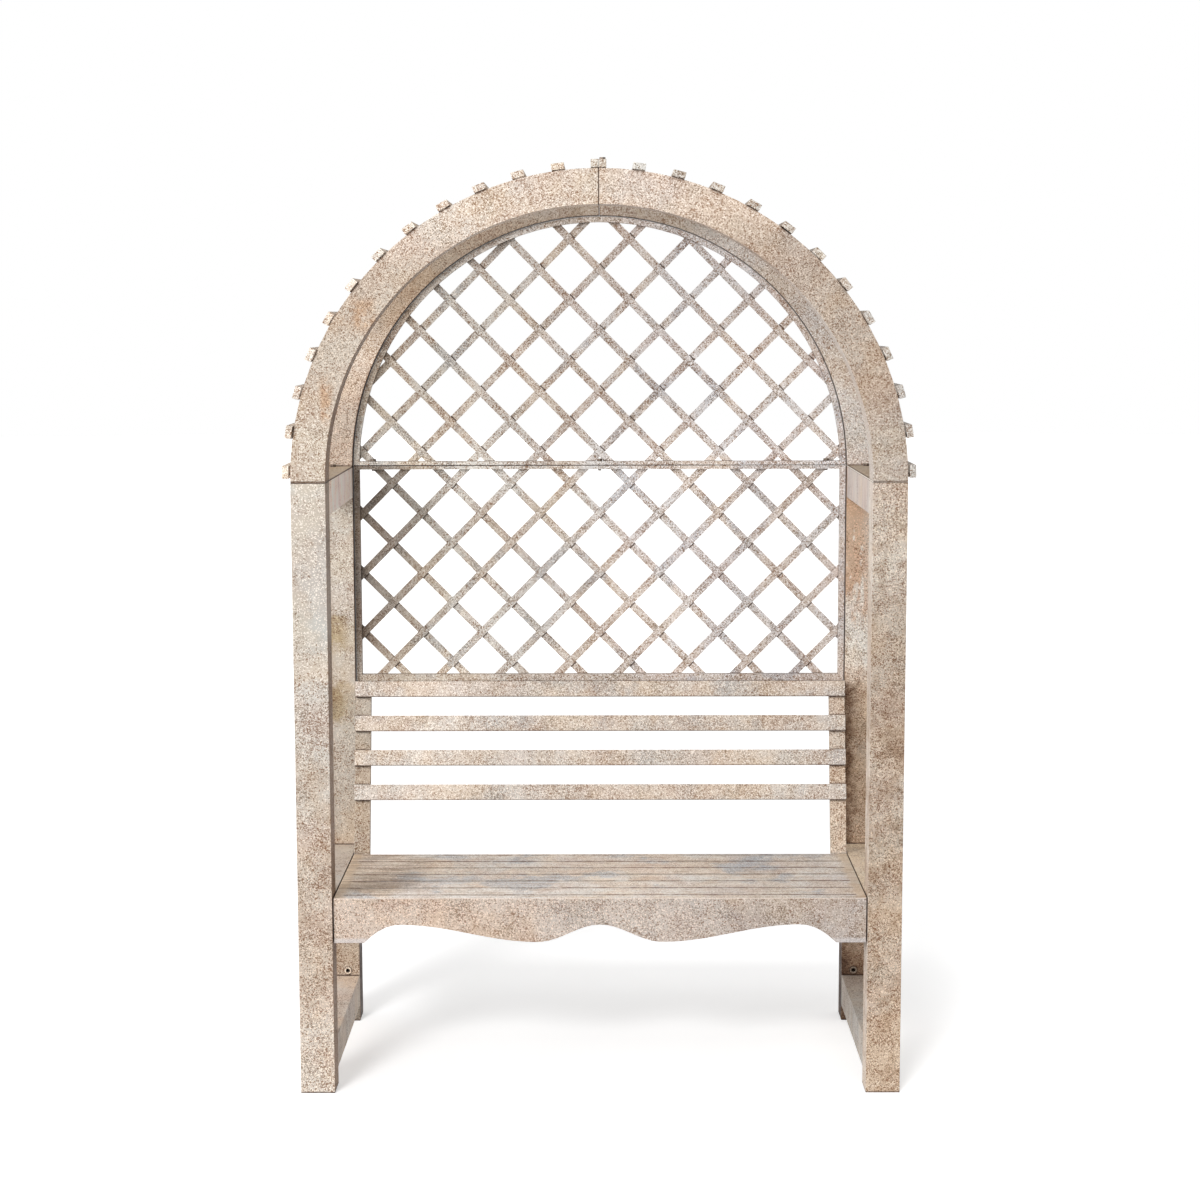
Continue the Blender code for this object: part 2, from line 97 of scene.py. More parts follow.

# Glazes multiply the tone under them: first dirt and painted shade, spots and stains
GRIME_AND_SHADE_GLAZE = (0.16, 0.10, 0.07)
SLOT_GLAZE = (0.20, 0.13, 0.095)
RIM_GLAZE = (0.52, 0.42, 0.34)
OLIVE_GLAZE = (0.36, 0.27, 0.185)
RUST_GLAZE = (0.41, 0.26, 0.165)
STAIN_GLAZE = (0.62, 0.49, 0.37)
OLIVE_STAIN = (0.70, 0.60, 0.42)
STREAK_GLAZE = (0.86, 0.66, 0.50)
RUST_PATCH = (0.73, 0.535, 0.40)
WORN_GLAZE = (0.66, 0.56, 0.47)
LILAC_GLAZE = (0.74, 0.68, 0.66)

# Glazes that paint shade over a larger area, or warm or darken it
SHADE_GLAZE = (0.27, 0.185, 0.125)
PAINTED_SHADE_GLAZE = (0.40, 0.36, 0.33)
INNER_GLAZE = (0.50, 0.38, 0.30)
CROWN_SHADE = (0.62, 0.60, 0.57)
LOW_TAN_GLAZE = (0.80, 0.70, 0.60)
WARM_SHADE = (0.87, 0.77, 0.67)
WARM_GLAZE = (1.0, 0.82, 0.66)
SHOULDER_GLAZE = (0.94, 0.87, 0.81)
DARKER_AND_SHADE_GLAZE = (0.84, 0.80, 0.77)
SOFFIT_GLAZE = (0.83, 0.82, 0.82)
COOL_GLAZE = (0.82, 0.85, 0.89)
CALM_GLAZE = (0.83, 0.86, 0.87)
TAN_GLAZE = (0.92, 0.90, 0.88)

# Bleaches are glazes that brighten, some of them as painted light
SOFFIT_BLEACH = (1.12, 1.12, 1.12)
LEFT_BLEACH = (1.06, 1.04, 1.02)
BACK_PAINTED_LIGHT = (1.12, 1.07, 1.01)
COOL_PAINTED_LIGHT = (1.02, 1.09, 1.17)
FOOT_BLEACH = (1.12, 1.16, 1.20)
CROWN_BLEACH = (1.22, 1.18, 1.17)
RIGHT_PAINTED_LIGHT = (1.20, 1.25, 1.34)
LILAC_BLEACH = (1.20, 1.22, 1.33)

# Places on the frame, in metres
SPRING_Z = 1.387
PLATE_TOP = 1.3867
INNER_HALF = 0.601
BACK_POST_Y = 0.237
FRONT_Y = -0.307
SEAT_Z = 0.450
APRON_END_Z = 0.3475
STRETCHER_TOP = 0.1155
FOOT_DIRT_AND_SHADE = 0.004
FIRST_SLOT_Y = -0.2705
SLOT_PITCH = 0.0646
HALF_PITCH = SLOT_PITCH / 2

# Places on the lattice
TRELLIS_BOTTOM = 0.8555
TRELLIS_JOINT = 1.3875
STRIP_FRONT_Y = 0.2648
STRIP_HALF = 0.0091
LATTICE_DX = 0.0724
LATTICE_DZ = 0.0733
UPPER_LATTICE_Z = 1.8595
LOWER_LATTICE_Z = 1.2698

# How far dirt and painted shade reach out of a corner
DIRT_AND_SHADE_REACH = 0.007
SHORT_REACH = 0.003
PLATE_REACH = 0.002

# How far the pattern is moved on parts that share one
RAIL_SHIFT = (2.3, 0.7, 1.9)
LATTICE_SHIFT = (8.4, 5.2, 6.6)

# Where one area fades into the next: along y between the front and back rows and in front of the
# back posts, along x across the crown and beside the posts
ROWS = (0.0, 0.1)
BACK_POSTS = (0.20, 0.22)
CROWN = (-0.06, 0.06)
LEFT_SIDE = (-0.60, -0.30)
RIGHT_SIDE = (0.5, 0.6)
BACK_LEFT = (-0.35, -0.30)
BACK_RIGHT = (0.30, 0.35)

# Middle x and z of two rust streaks on the left front arch, and how far each reaches
RUST_STREAKS = ((-0.597, 1.563, 0.022, 0.070), (-0.512, 1.750, 0.040, 0.050))
# Lower and upper ends of two olive stains on the left back post
OLIVE_STAINS = ((0.95, 1.00), (0.78, 0.82))


class Tree:
    """Builds a node tree a call at a time."""

    def __init__(self, tree):
        self.nodes = tree.nodes
        self.links = tree.links

    def put(self, socket, value):
        """Links value to socket if it is a socket too, and otherwise sets it there."""
        if isinstance(value, bpy.types.NodeSocket):
            self.links.new(value, socket)
        elif isinstance(value, (tuple, list)) and socket.type == "RGBA" and len(value) == 3:
            socket.default_value = (*value, 1.0)
        else:
            socket.default_value = value

    def add(self, kind, inputs=(), **settings):
        node = self.nodes.new(kind)
        for key, value in settings.items():
            setattr(node, key, value)
        for key, value in dict(inputs).items():
            self.put(node.inputs[key], value)
        return node

    def split(self, vector):
        return self.add("ShaderNodeSeparateXYZ", {"Vector": vector}).outputs

    def shifted(self, vector, shift, scale=(1.0, 1.0, 1.0)):
        node = self.add("ShaderNodeMapping", {"Vector": vector, "Location": shift, "Scale": scale})
        return node.outputs["Vector"]

    def noise(self, vector, scale, detail, roughness):
        inputs = {"Vector": vector, "Scale": scale, "Detail": detail, "Roughness": roughness}
        return self.add("ShaderNodeTexNoise", inputs).outputs["Fac"]

    def level(self, value, low, high, to_low=0.0, to_high=1.0):
        """Maps low..high smoothly to to_low..to_high."""
        node = self.add(
            "ShaderNodeMapRange",
            {
                "Value": value,
                "From Min": low,
                "From Max": high,
                "To Min": to_low,
                "To Max": to_high,
            },
            interpolation_type="SMOOTHSTEP",
        )
        return node.outputs["Result"]

    def fall(self, value, low, high, top=1.0):
        """top up to low, and from there smoothly down to 0 at high."""
        return self.level(value, low, high, top, 0.0)

    def bands(self, value, low, high, soft):
        """1 between low and high, fading to 0 over soft on both sides."""
        rise = self.level(value, low - soft, low)
        return self.math("MULTIPLY", rise, self.fall(value, high, high + soft))

    def math(self, operation, a, b=0.0):
        return self.add("ShaderNodeMath", {0: a, 1: b}, operation=operation).outputs[0]

    def apart(self, value, centre):
        return self.math("ABSOLUTE", self.math("SUBTRACT", value, centre))

    def rest(self, mask):
        return self.math("SUBTRACT", 1.0, mask)

    def swayed(self, value, cloud, amount):
        """value moved up and down by the cloud, over amount in all."""
        sway = self.math("MULTIPLY", self.math("SUBTRACT", cloud, 0.5), amount)
        return self.math("ADD", value, sway)

    def all_of(self, *masks):
        product = masks[0]
        for mask in masks[1:]:
            product = self.math("MULTIPLY", product, mask)
        return product

    def mix(self, share, a, b, blend="MIX"):
        node = self.add("ShaderNodeMix", data_type="RGBA", blend_type=blend)
        for key, value in (("Factor_Float", share), ("A_Color", a), ("B_Color", b)):
            socket = next(s for s in node.inputs if s.identifier == key)
            self.put(socket, value)
        return next(s for s in node.outputs if s.identifier == "Result_Color")


class Look(Tree):
    """A material whose tone is laid on in layers."""

    def __init__(self, name):
        self.material = bpy.data.materials.new(name)
        self.material.use_nodes = True
        super().__init__(self.material.node_tree)
        self.shader = self.nodes["Principled BSDF"]
        self.place = self.add("ShaderNodeTexCoord").outputs["Object"]
        self.tone = WHITE

    def glaze(self, colour, *masks):
        """Multiplies the tone by colour, as far as all the masks let it."""
        glazed = self.mix(1.0, self.tone, colour, "MULTIPLY")
        self.tone = self.mix(self.all_of(*masks), self.tone, glazed)

    def cover(self, colour, *masks):
        """Hides the tone under colour, as far as all the masks let it."""
        self.tone = self.mix(self.all_of(*masks), self.tone, colour)

    def crevices(self, reach, low, high):
        """1 deep in a corner, and 0 further than reach from the faces around."""
        node = self.add("ShaderNodeAmbientOcclusion", {"Distance": reach}, samples=8)
        return self.fall(node.outputs["AO"], low, high)

    def tint(self):
        """Multiplies the tone by the colour of the node that wears the look."""
        colour = self.add("ShaderNodeObjectInfo").outputs["Color"]
        self.tone = self.mix(1.0, self.tone, colour, "MULTIPLY")

    def surface(self, inputs):
        """Gives the shader the tone as its colour, and the inputs."""
        for key, value in {"Base Color": self.tone, **inputs}.items():
            self.put(self.shader.inputs[key], value)


class Zinc(Look):
    """Old zinc sheet: chalky cream bloom, brown spotting, ochre runs and blue-grey bare patches."""

    def __init__(self, name, shift):
        super().__init__(name)
        self.spot = self.shifted(self.place, shift)
        self.x, self.y, self.z = self.split(self.place)
        self.calm = 0.0

    def cloud(self, shift, scale, detail=5.0, roughness=0.62, stretch=(1.0, 1.0, 1.0)):
        return self.noise(self.shifted(self.spot, shift, stretch), scale, detail, roughness)

    def cells(self, shift, scale):
        """A value from 0 to 1 for each small cell of the surface."""
        inputs = {"Vector": self.shifted(self.spot, shift), "Scale": scale}
        colour = self.add("ShaderNodeTexVoronoi", inputs, feature="F1").outputs["Color"]
        return self.add("ShaderNodeSeparateColor", {"Color": colour}).outputs["Red"]

    def clouds(self, pink, ochre, blue, stains):
        """The large soft patches of colour."""
        self.tone = self.mix(self.level(self.cloud((0, 0, 0), 4.0), 0.43, 0.57), PALE, CREAM)
        self.cover(PINK, self.level(self.cloud((3.1, 1.7, 5.3), 6.0), 0.46, 0.62, 0.0, pink))
        runs = self.cloud((7.7, 2.9, 0.4), 9.0, 6.0, 0.68, (1.0, 1.0, 0.55))
        self.cover(OCHRE, self.level(runs, 0.52, 0.66, 0.0, ochre))
        self.cover(BLUE_GREY, self.level(self.cloud((1.9, 6.1, 8.2), 7.0), 0.52, 0.64, 0.0, blue))
        large = self.cloud((4.4, 8.3, 2.6), 13.0, 6.0, 0.7)
        self.glaze(STAIN_GLAZE, self.level(large, 0.56, 0.72, 0.0, stains))
        small = self.cloud((2.7, 5.5, 9.4), 42.0, 3.0)
        self.glaze(STAIN_GLAZE, self.level(small, 0.58, 0.70, 0.0, 0.35))

    def streaks(self, share):
        """Upright lilac streaks."""
        lines = self.cloud((0.5, 0, 0), 20.0, 4.0, 0.6, (9.0, 9.0, 0.30))
        self.cover(LILAC, self.level(lines, 0.44, 0.60, 0.0, share))
        lines = self.cloud((6.5, 0, 0), 26.0, 4.0, 0.6, (9.0, 9.0, 0.35))
        self.glaze(LILAC_GLAZE, self.level(lines, 0.50, 0.62, 0.0, share))

    def specks(self, amount, flecks, clusters, depth):
        """Fine brown spots, gathered in loose clusters, with pale flecks between them."""
        density = self.cloud((1.3, 9.1, 4.4), 14.0, 6.0, 0.66)
        density = self.math("MULTIPLY", self.math("SUBTRACT", density, 0.5 - amount), clusters)
        density = self.math("ADD", density, self.calm)
        hue = self.level(self.cloud((8.8, 4.2, 1.1), 11.0, 4.0), 0.38, 0.50)
        colour = self.mix(hue, OLIVE_GLAZE, RUST_GLAZE)
        coarse = self.math("ADD", self.noise(self.spot, 330.0, 1.0, 0.5), density)
        fine = self.cells((6.6, 0.8, 3.9), 500.0)
        fine = self.math("ADD", fine, self.math("MULTIPLY", density, 2.2))
        self.glaze(colour, self.level(coarse, 0.53, 0.63, 0.0, 0.25 * depth))
        self.glaze(colour, self.level(fine, 0.68, 0.76, 0.0, 0.92 * depth))
        pale = self.cells((5.9, 3.3, 8.8), 480.0)
        self.cover(FLECK_AND_HIGHLIGHT, self.level(pale, 0.77, 0.85, 0.0, flecks))
        return coarse, pale

    def grime_and_shade(self, reach):
        """Brown dirt and painted contact shade in the corners and along the foot."""
        self.glaze(GRIME_AND_SHADE_GLAZE, self.crevices(reach, 0.45, 0.95))
        self.glaze(GRIME_AND_SHADE_GLAZE, self.fall(self.z, 0.0, FOOT_DIRT_AND_SHADE, 0.8))

    def finish(self, coarse, pale):
        """Tints the tone, with coarse spots duller and lower and pale flecks higher."""
        self.tint()
        low = self.level(coarse, 0.45, 0.65)
        height = self.math("SUBTRACT", self.math("MULTIPLY", pale, 0.5), low)
        relief = {"Height": height, "Strength": 0.4, "Distance": 0.0006}
        self.surface(
            {
                "Roughness": self.level(coarse, 0.35, 0.65, 0.50, 0.80),
                "Metallic": 0.12,
                "Normal": self.add("ShaderNodeBump", relief).outputs["Normal"],
            }
        )

    def calm_posts(self):
        """Fewer spots on three of the posts: left front at its top, right back and left back."""
        left = self.fall(self.x, *LEFT_SIDE)
        top = self.all_of(left, self.fall(self.y, *ROWS), self.bands(self.z, 1.08, 1.40, 0.15))
        self.glaze(CALM_GLAZE, top)
        back = self.level(self.y, *BACK_POSTS)
        rusty = self.all_of(back, self.level(self.x, *BACK_RIGHT), self.level(self.z, 1.03, 1.13))
        wavy = self.level(self.cloud((8.3, 2.2, 6.7), 12.0, 4.0), 0.42, 0.58, 0.2, 1.0)
        calm = self.math("ADD", self.math("ADD", top, rusty), self.all_of(back, left, wavy, 0.8))
        self.calm = self.math("MULTIPLY", calm, -0.10)

    def inner_faces(self):
        """1 on the faces towards the bench of the posts and arches."""
        above = self.math("MAXIMUM", self.math("SUBTRACT", self.z, SPRING_Z), 0.0)
        squares = self.math("ADD", self.math("POWER", above, 2.0), self.math("POWER", self.x, 2.0))
        radius = self.math("SQRT", squares)
        return self.bands(radius, INNER_HALF - 0.001, INNER_HALF + 0.0004, 0.0008)

    def frame_marks(self):
        """All that posts and arches share; the order counts, for a cover hides what is under it."""
        inner = self.inner_faces()
        front = self.fall(self.y, *ROWS)
        self.joints(inner)
        self.heights(front)
        self.soffit(self.all_of(inner, front))
        self.rust_streaks(front)
        self.left_front(front)
        self.back_arch()
        self.right_front(front)
        self.worn_patches(front)

    def joints(self, inner):
        """Brown inner faces on the left, and dark lines of dirt and painted shade where the parts
        of the frame meet, deeper on the left.
        """
        self.glaze(INNER_GLAZE, inner, self.fall(self.x, -0.60, -0.25), 0.9)
        # A dark joint line under the arches, with painted shade that is strongest on the left
        spring = self.fall(self.apart(self.z, SPRING_Z - 0.0015), 0.0022, 0.0032)
        front = self.fall(self.y, -0.22, -0.20)
        self.glaze(GRIME_AND_SHADE_GLAZE, spring, front, self.level(self.x, -0.2, 0.2, 0.9, 0.25))
        crown = self.fall(self.math("ABSOLUTE", self.x), 0.0008, 0.0022, 0.9)
        self.glaze(GRIME_AND_SHADE_GLAZE, crown, self.level(self.z, 1.9, 1.91))
        behind = self.level(self.y, BACK_POST_Y + 0.006, BACK_POST_Y + 0.010)
        self.glaze(GRIME_AND_SHADE_GLAZE, inner, behind, self.level(self.x, 0.1, 0.3, 1.0, 0.6))

    def heights(self, front):
        """Warm low down, with pale feet, and a pale crown over darker shoulders."""
        self.glaze(WARM_GLAZE, self.fall(self.z, 0.10, 1.00, 0.45))
        self.glaze(FOOT_BLEACH, self.fall(self.z, 0.02, 0.30))
        left = self.math("MULTIPLY", self.fall(self.x, *CROWN), 0.07)
        crown = self.level(self.math("ADD", self.z, left), 1.90, 1.98)
        self.glaze(CROWN_BLEACH, crown, front)
        self.glaze(SHOULDER_GLAZE, self.bands(self.z, 1.62, 1.86, 0.12), front)

    def soffit(self, inside):
        """The underside of the front arch: shaded right of the crown, pale left of it, and with
        painted light further down on the right.
        """
        past = self.level(self.x, 0.0, 0.004)
        self.glaze(SOFFIT_GLAZE, inside, past, self.fall(self.x, 0.30, 0.45))
        before = self.all_of(self.bands(self.x, -0.20, 0.0, 0.10), self.fall(past, 0.0, 1.0))
        self.glaze(SOFFIT_BLEACH, inside, before)
        # Painted light on the inner faces on the right
        right = self.level(self.x, 0.36, 0.50)
        self.glaze(RIGHT_PAINTED_LIGHT, inside, right)
        self.cover(PALE, inside, right, 0.45)

    def rust_streaks(self, front):
        rusty = self.level(self.cloud((5.7, 2.3, 8.1), 34.0, 5.0, 0.7), 0.40, 0.56, 0.3, 1.0)
        for x, z, width, height in RUST_STREAKS:
            across = self.fall(self.apart(self.x, x), width * 0.3, width, 0.9)
            upright = self.fall(self.apart(self.z, z), height * 0.3, height)
            self.glaze(STREAK_GLAZE, across, upright, front, rusty)

    def left_front(self, front):
        """The left front post is paler towards its foot."""
        left = self.all_of(self.fall(self.x, *LEFT_SIDE), front)
        self.glaze(FOOT_BLEACH, left, self.fall(self.z, 0.05, 0.32))
        self.glaze(LEFT_BLEACH, left, self.fall(self.z, 0.45, 0.75))

    def back_arch(self):
        """The back arch has painted light over its feet and on the right below its shoulder, and
        painted shade towards its crown.
        """
        above = self.level(self.z, SPRING_Z, SPRING_Z + 0.001)
        arch = self.all_of(self.level(self.y, *ROWS), above)
        left = self.all_of(arch, self.fall(self.x, *CROWN))
        right = self.all_of(arch, self.level(self.x, *CROWN))
        # Painted light over the feet of the back arch
        self.glaze(BACK_PAINTED_LIGHT, arch, self.bands(self.z, SPRING_Z + 0.001, 1.62, 0.10))
        # Painted shade towards the crown, starting higher on the right
        self.glaze(CROWN_SHADE, left, self.level(self.z, 1.62, 1.88))
        self.glaze(CROWN_SHADE, right, self.level(self.z, 1.89, 1.98))
        # Painted light on the right below the shoulder
        self.glaze(COOL_PAINTED_LIGHT, right, self.fall(self.z, 1.70, 1.80))
        high = self.all_of(self.level(self.z, 1.66, 1.76), self.level(self.z, 1.96, 2.00, 1.0, 0.2))
        self.glaze(WARM_SHADE, left, high)
        # Painted shade low on the left, over the painted light
        self.glaze(DARKER_AND_SHADE_GLAZE, left, self.fall(self.z, 1.52, 1.62))

    def right_front(self, front):
        """The right front post is darker in two bands above the seat."""
        right = self.all_of(front, self.level(self.x, *RIGHT_SIDE))
        self.glaze(TAN_GLAZE, right, self.bands(self.z, 0.45, 0.80, 0.15))
        self.glaze(DARKER_AND_SHADE_GLAZE, right, self.bands(self.z, 0.88, 1.08, 0.12))

    def worn_patches(self, front):
        """Worn patches on both front posts, and small scars higher up on the right one."""
        worn = self.level(self.cloud((6.1, 3.8, 2.4), 11.0, 6.0, 0.7), 0.46, 0.60)
        low = self.bands(self.z, 0.30, 0.80, 0.15)
        self.glaze(WORN_GLAZE, front, worn, low, self.level(self.x, -0.2, 0.2, 0.40, 0.60))
        scars = self.level(self.cloud((3.4, 6.8, 1.2), 26.0, 6.0, 0.7), 0.50, 0.60)
        low = self.level(self.z, 1.20, SPRING_Z, 1.0, 0.3)
        self.glaze(WORN_GLAZE, front, scars, low, self.level(self.x, 0.4, 0.6, 0.0, 0.55))

    def post_marks(self):
        """The rusty and shaded right back post, and the stained left one with a painted shadow
        along its outer edge.
        """
        ragged = self.cloud((2.2, 0.3, 7.9), 26.0)
        height = self.swayed(self.z, ragged, 0.16)
        back = self.level(self.y, *BACK_POSTS)
        self.right_back(self.all_of(back, self.level(self.x, *BACK_RIGHT)), ragged, height)
        left = self.all_of(back, self.fall(self.x, *BACK_LEFT))
        inward = self.level(self.x, -0.640, -0.605, 0.9, 0.3)
        for low, high in OLIVE_STAINS:
            self.glaze(OLIVE_STAIN, left, self.bands(height, low, high, 0.04), inward)
        self.glaze(STAIN_GLAZE, left, self.fall(height, 0.85, 1.00, 0.30))
        # Painted shadow of the front post on the outer edge of the left back post
        self.glaze(DARKER_AND_SHADE_GLAZE, back, self.fall(self.x, -0.668, -0.638))

    def right_back(self, post, ragged, height):
        """Flaking rust above and shade below, both fading towards the outer corners."""
        outer = self.level(self.x, 0.63, 0.676, 1.0, 0.25)
        away = self.all_of(outer, self.level(self.y, 0.290, 0.306, 1.0, 0.4))
        peel = self.cloud((1.8, 4.9, 0.6), 16.0, 5.0, 0.7, (2.5, 2.5, 0.6))
        rust = self.level(self.swayed(self.z, peel, 0.45), 1.03, 1.09)
        flakes = self.cloud((2.8, 7.7, 5.1), 60.0, 4.0, 0.7, (1.0, 1.0, 0.45))
        flakes = self.level(flakes, 0.58, 0.64, 1.0, 0.25)
        flakes = self.math("MAXIMUM", flakes, self.level(self.z, 1.20, 1.27))
        self.glaze(RUST_PATCH, post, rust, away, flakes, 0.95)
        side = self.level(self.swayed(self.x, ragged, 0.08), 0.610, 0.636, 1.0, 0.25)
        blotches = self.level(self.cloud((0.9, 7.3, 5.6), 22.0, 4.0), 0.40, 0.58, 0.62, 1.0)
        self.glaze(SHADE_GLAZE, post, self.fall(height, 0.82, 0.87), side, away, blotches)
        self.glaze(LOW_TAN_GLAZE, post, self.fall(height, 0.82, 0.92))
        corner = self.fall(self.z, STRETCHER_TOP + 0.01, STRETCHER_TOP + 0.07, 0.6)
        self.glaze(SHADE_GLAZE, post, corner)

    def apron_marks(self):
        """Warm left and cool right, with painted highlights along the top and under both ends."""
        self.glaze(WARM_GLAZE, self.fall(self.x, -0.6, 0.2, 0.35))
        self.glaze(COOL_GLAZE, self.level(self.x, 0.15, 0.45, 0.0, 0.7))
        # Painted highlights on the lower edge at both ends
        ends = self.level(self.math("ABSOLUTE", self.x), 0.50, 0.53)
        highlight_band = self.fall(self.z, APRON_END_Z + 0.006, APRON_END_Z + 0.014, 0.65)
        front = self.fall(self.y, FRONT_Y + 0.006, FRONT_Y + 0.008)
        self.cover(PAINTED_HIGHLIGHT, ends, highlight_band, front)
        # A painted highlight along the top edge, under the front of the seat
        self.cover(FLECK_AND_HIGHLIGHT, self.level(self.z, SEAT_Z - 0.0022, SEAT_Z - 0.0012), 0.6)

    def plate_marks(self):
        """The plates under the arches: painted shadow along the edges on the left, and a painted
        highlight on the inner edge on the right.
        """
        edges = self.fall(self.z, PLATE_TOP - 0.0006, PLATE_TOP - 0.0003)
        top = self.rest(edges)
        right = self.level(self.x, -0.1, 0.1)
        front = self.fall(self.y, FRONT_Y + 0.001, FRONT_Y + 0.002)
        # Painted shadow along the edges on the left, and at the front on the right
        self.glaze(GRIME_AND_SHADE_GLAZE, edges, self.rest(right), 0.95)
        self.glaze(GRIME_AND_SHADE_GLAZE, edges, right, front, 0.6)
        # A painted highlight on the inner edge on the right
        self.cover(FLECK_AND_HIGHLIGHT, edges, right, self.rest(front), 0.85)
        self.cover(OCHRE, top, 0.55)
        line = self.fall(self.x, INNER_HALF + 0.003, INNER_HALF + 0.006, 0.8)
        self.glaze(GRIME_AND_SHADE_GLAZE, top, right, line)

    def seat_marks(self):
        """Ochre ends, a cool right side, painted shade in the slots with dark dashes along them,
        and a painted shadow over the left-hand end.
        """
        across = self.math("ABSOLUTE", self.x)
        worn = self.math("MULTIPLY", self.cloud((5.2, 1.4, 3.3), 24.0), 0.03)
        self.cover(OCHRE, self.level(self.math("ADD", across, worn), 0.580, 0.600), 0.6)
        self.glaze(COOL_GLAZE, self.level(self.x, 0.10, 0.40, 0.0, 0.8))
        # Painted shade on the walls of the slots
        walls = self.bands(self.z, SEAT_Z - 0.0016, SEAT_Z - 0.0004, 0.0003)
        broken = self.level(self.cloud((0.7, 0.9, 0.0), 60.0, 3.0), 0.40, 0.60, 0.55, 1.0)
        self.glaze(SLOT_GLAZE, walls, broken)
        lines = self.cloud((9.0, 2.0, 4.0), 16.0, 4.0, 0.6, (0.5, 6.0, 1.0))
        self.glaze(STAIN_GLAZE, self.level(lines, 0.50, 0.64, 0.0, 0.5))
        # A painted shadow over the left-hand end of the seat
        end = self.bands(self.x, -0.57, -0.46, 0.08)
        painted_shadow = self.all_of(end, self.bands(self.y, -0.18, 0.08, 0.10))
        self.glaze(PAINTED_SHADE_GLAZE, painted_shadow, self.level(lines, 0.38, 0.56, 0.20, 0.65))
        along = self.math("SUBTRACT", self.y, FIRST_SLOT_Y - HALF_PITCH)
        along = self.math("FLOORED_MODULO", along, SLOT_PITCH)
        rim = self.fall(self.apart(along, HALF_PITCH), 0.0035, 0.0080, 0.85)
        dashes = self.level(self.cloud((4.7, 0.9, 0.0), 30.0, 4.0, 0.7), 0.42, 0.58, 0.25, 1.0)
        self.glaze(RIM_GLAZE, rim, dashes, self.fall(across, 0.570, 0.578))

    def slat_marks(self):
        """A dark lower edge."""
        height = self.split(self.add("ShaderNodeTexCoord").outputs["Generated"])["Z"]
        self.glaze(GRIME_AND_SHADE_GLAZE, self.fall(height, 0.09, 0.13, 0.65))

    def lattice_marks(self, centre_z, lean, shade_left, shade_right):
        """Painted shadows on the strips behind, along one edge of each strip in front, and painted
        shade.

        lean is 1 where the strips in front rise to the right, and -1 where they rise to the left.
        """
        length = math.hypot(LATTICE_DX, LATTICE_DZ)
        rise = self.math("SUBTRACT", self.z, centre_z)
        rise = self.math("MULTIPLY", rise, -lean * LATTICE_DX / length)
        across = self.math("ADD", self.math("MULTIPLY", self.x, LATTICE_DZ / length), rise)
        across = self.math("FLOORED_MODULO", across, 2 * LATTICE_DX * LATTICE_DZ / length)
        # Painted shadows that the strips in front throw on the strips behind
        edge = self.bands(across, STRIP_HALF, STRIP_HALF + 0.0024, 0.0012)
        behind = self.bands(self.y, STRIP_FRONT_Y + 0.0016, STRIP_FRONT_Y + 0.0026, 0.0004)
        self.glaze(GRIME_AND_SHADE_GLAZE, edge, behind, 0.85)
        self.glaze(LILAC_BLEACH, self.level(self.x, -0.45, 0.25))
        # Painted shade over the left of the lower panel, the top of the panels and the right
        dark = self.all_of(self.fall(self.x, *LEFT_SIDE), self.bands(self.z, 1.00, 1.386, 0.18))
        self.glaze(PAINTED_SHADE_GLAZE, dark, shade_left)
        shade = self.level(self.x, 0.0, 0.4, 0.27, 0.08)
        self.glaze(PAINTED_SHADE_GLAZE, self.level(self.z, 1.39, 1.50), shade)
        self.glaze(PAINTED_SHADE_GLAZE, self.level(self.x, 0.15, 0.45, 0.0, shade_right))
        bottom = self.fall(self.z, TRELLIS_BOTTOM + 0.0015, TRELLIS_BOTTOM + 0.0030, 0.8)
        self.glaze(GRIME_AND_SHADE_GLAZE, bottom)
        # A dark line along the joint of the panels, with painted shade on the left
        joint = self.fall(self.apart(self.z, TRELLIS_JOINT), 0.0009, 0.0016)
        self.glaze(GRIME_AND_SHADE_GLAZE, joint, self.fall(self.x, 0.15, 0.40, 0.85))


def zinc(
    name,
    shift,
    marks=(),
    pink=0.35,
    ochre=0.35,
    blue=0.3,
    spots=0.0,
    flecks=0.78,
    clusters=0.60,
    depth=1.0,
    streaks=0.0,
    stains=0.4,
    reach=DIRT_AND_SHADE_REACH,
    calm=None,
):
    """One finish; marks are calls that paint what only some parts have, and calm thins spots."""
    t = Zinc(name, shift)
    t.clouds(pink, ochre, blue, stains)
    if calm:
        calm(t)
    if streaks:
        t.streaks(streaks)
    coarse, pale = t.specks(spots, flecks, clusters, depth)
    for mark in marks:
        mark(t)
    t.grime_and_shade(reach)
    t.finish(coarse, pale)
    return t.material


def lattice(name, centre_z, lean, shade_left, shade_right):
    """The finish of one trellis panel."""
    marks = (lambda t: t.lattice_marks(centre_z, lean, shade_left, shade_right),)
    return zinc(name, LATTICE_SHIFT, marks, blue=0.6, reach=SHORT_REACH)


def steel(name):
    """Dulled bolt steel, with dirt and painted shade in the corners, and darker on the sides that
    face left and right.
    """
    t = Look(name)
    cloud = t.noise(t.place, 180.0, 4.0, 0.6)
    t.tone = t.mix(t.level(cloud, 0.35, 0.65), DARK_STEEL, LIGHT_STEEL)
    t.glaze(GRIME_AND_SHADE_GLAZE, t.crevices(DIRT_AND_SHADE_REACH, 0.40, 0.85))
    facing = t.split(t.add("ShaderNodeNewGeometry").outputs["True Normal"])
    t.glaze(GRIME_AND_SHADE_GLAZE, t.level(t.math("ABSOLUTE", facing["X"]), 0.30, 0.60))
    t.tint()
    t.surface({"Roughness": t.level(cloud, 0.3, 0.7, 0.35, 0.65), "Metallic": 0.5})
    return t.material


